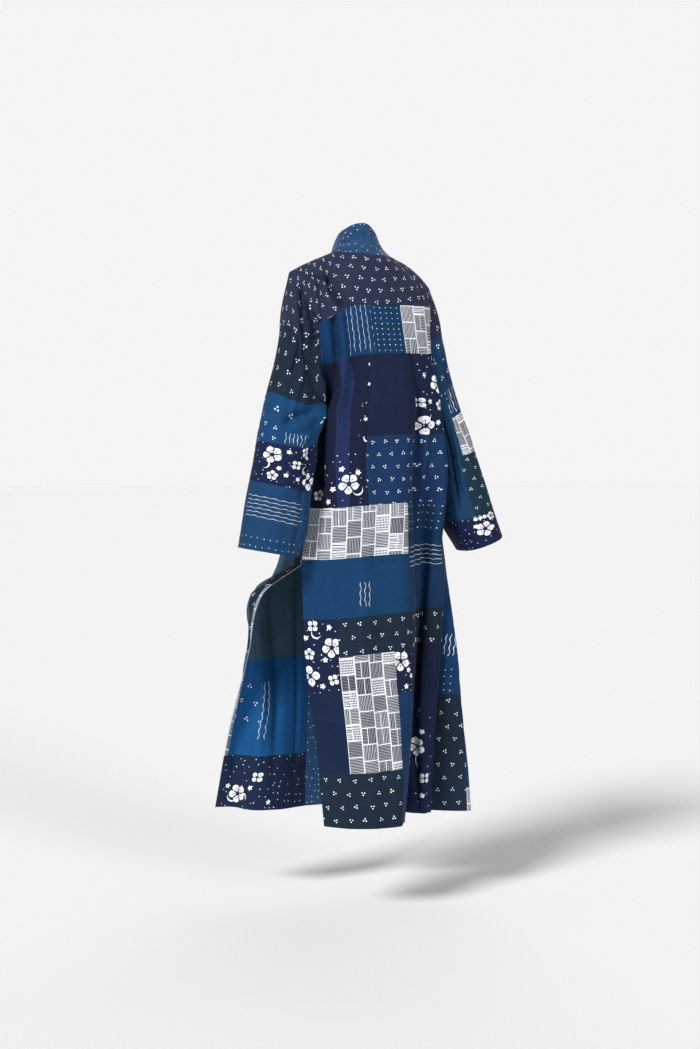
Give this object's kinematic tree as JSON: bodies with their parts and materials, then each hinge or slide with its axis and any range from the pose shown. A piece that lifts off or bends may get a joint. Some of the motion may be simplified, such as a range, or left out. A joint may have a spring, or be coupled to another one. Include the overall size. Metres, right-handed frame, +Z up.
{
  "type": "long open robe with side slits",
  "caption": "Ankle-length patchwork robe that hangs from the shoulders, open down the front, with a stand collar, wide sleeves and side slits.",
  "frame": {"origin": "middle of the neck opening at the height of the nape, where the shoulders hold the robe", "axes": "+Z up, the front towards -Y, the wearer's left towards +X"},
  "size_m": [0.65, 0.3635, 1.3497],
  "materials": {
    "yoke_cloth": "matte cotton dyed purple navy with white triple dots",
    "body_cloth": "matte cotton in indigo, navy, teal and hatched patches",
    "sleeve_cloth": "matte cotton in indigo, navy and teal patches",
    "collar_cloth": "smooth bright indigo cotton with small white dots and a soft sheen"
  },
  "bodies": {
    "root": {"yoke": "yoke_cloth", "collar": "collar_cloth", "back": "body_cloth", "front_left": "body_cloth", "front_right": "body_cloth", "front_band_left": "collar_cloth", "front_band_right": "collar_cloth", "sleeve_left": "sleeve_cloth", "sleeve_right": "sleeve_cloth"}
  },
  "joints": []
}
